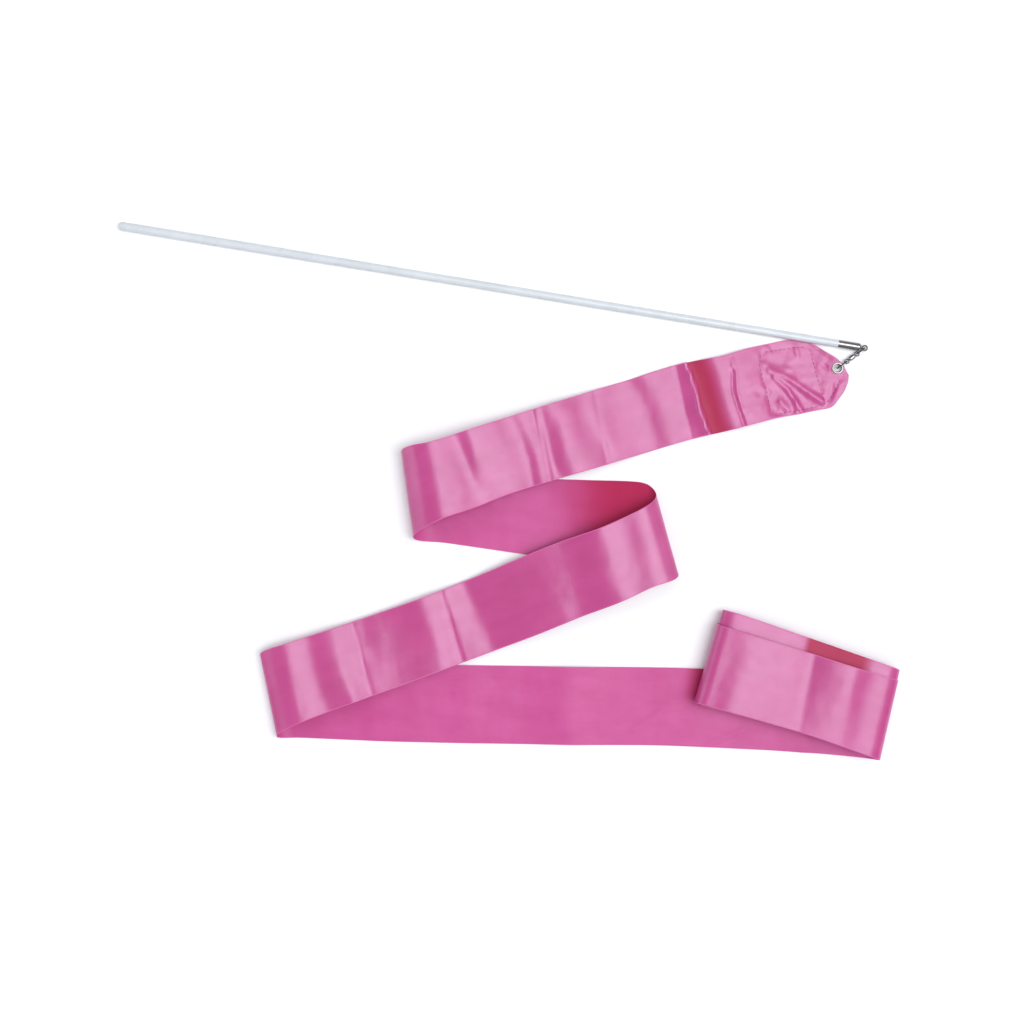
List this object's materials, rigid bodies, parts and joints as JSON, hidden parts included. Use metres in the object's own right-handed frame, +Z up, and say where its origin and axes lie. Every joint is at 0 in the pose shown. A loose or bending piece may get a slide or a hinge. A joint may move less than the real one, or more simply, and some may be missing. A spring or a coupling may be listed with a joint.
{
  "type": "rhythmic ribbon wand",
  "caption": "Slim white stick with a metal ferrule, a swivel connector and a long folded satin ribbon with a sewn, eyeleted end.",
  "frame": {"origin": "on the stick's axis, where the rounded end cap meets the sleeve at the grip end", "axes": "+X along the stick from grip to tip, +Z up from the surface that the wand lies on"},
  "size_m": [0.5394, 0.3118, 0.0264],
  "materials": {
    "cap_plastic": "moulded white plastic",
    "glass_fibre": "pultruded glass fibre",
    "white_sleeve": "smooth white plastic skin",
    "ferrule_chrome": "dark polished chrome",
    "collar_brass": "plain turned brass",
    "eye_steel": "drawn wire",
    "ring_steel": "drawn wire, dark nickel",
    "swivel_wire": "drawn wire, dark nickel",
    "swivel_nickel": "polished nickel",
    "eyelet_nickel": "polished nickel",
    "satin": "pink polyester satin",
    "thread": "dark pink sewing thread"
  },
  "bodies": {
    "stick": {"rod_sleeve": "white_sleeve", "rod_core": "glass_fibre", "grip_cap": "cap_plastic", "ferrule": "ferrule_chrome"},
    "tip_eye": {"tip_eye": "eye_steel", "eye_collar": "collar_brass"},
    "link_ring": {"link_ring": "ring_steel"},
    "swivel_top": {"swivel_upper_eye": "swivel_wire"},
    "swivel_barrel": {"swivel_barrel": "swivel_nickel"},
    "swivel_bottom": {"swivel_lower_eye": "swivel_wire"},
    "eyelet_ring": {"eyelet_ring": "ring_steel"},
    "ribbon": {"eyelet_front": "eyelet_nickel", "eyelet_back": "eyelet_nickel", "ribbon_end": "satin", "end_patch": "satin", "cross_stitches_inner": "thread", "cross_stitches_outer": "thread", "edge_stitches": "thread", "taper_stitches": "thread", "ribbon_run_1": "satin", "ribbon_turn_1": "satin", "ribbon_run_2": "satin", "ribbon_turn_2": "satin", "ribbon_run_3": "satin", "ribbon_turn_3": "satin", "ribbon_run_4": "satin", "ribbon_turn_4": "satin", "ribbon_run_5": "satin", "ribbon_turn_5": "satin", "ribbon_inner_wraps": "satin", "free_end_hem": "satin", "hem_stitches": "thread"}
  },
  "joints": [
    {"name": "tip_eye_spin", "type": "hinge", "parent": "stick", "child": "tip_eye", "pos_m": [0.477, 0, 0], "axis": [1, 0, 0], "continuous": true},
    {"name": "link_ring_swing", "type": "hinge", "parent": "tip_eye", "child": "link_ring", "pos_m": [0.47905, 0, 0], "axis": [0, 0, 1], "range_deg": [0, 150]},
    {"name": "swivel_tilt", "type": "hinge", "parent": "link_ring", "child": "swivel_top", "pos_m": [0.47568, -0.00349, -0.0005], "axis": [0.7193, -0.6947, 0], "range_deg": [0, 75]},
    {"name": "barrel_spin", "type": "hinge", "parent": "swivel_top", "child": "swivel_barrel", "pos_m": [0.47196, -0.00734, -0.0005], "axis": [0.6947, 0.7193, 0], "continuous": true},
    {"name": "swivel_turn", "type": "hinge", "parent": "swivel_top", "child": "swivel_bottom", "pos_m": [0.47196, -0.00734, -0.0005], "axis": [0.6947, 0.7193, 0], "range_deg": [-150, 0]},
    {"name": "eyelet_ring_swing", "type": "hinge", "parent": "swivel_bottom", "child": "eyelet_ring", "pos_m": [0.46919, -0.01022, -0.0005], "axis": [0, 0, 1], "range_deg": [0, 45]},
    {"name": "ribbon_swing", "type": "hinge", "parent": "eyelet_ring", "child": "ribbon", "pos_m": [0.46404, -0.01554, -0.0006], "axis": [0, 0, 1], "range_deg": [0, 40]}
  ]
}
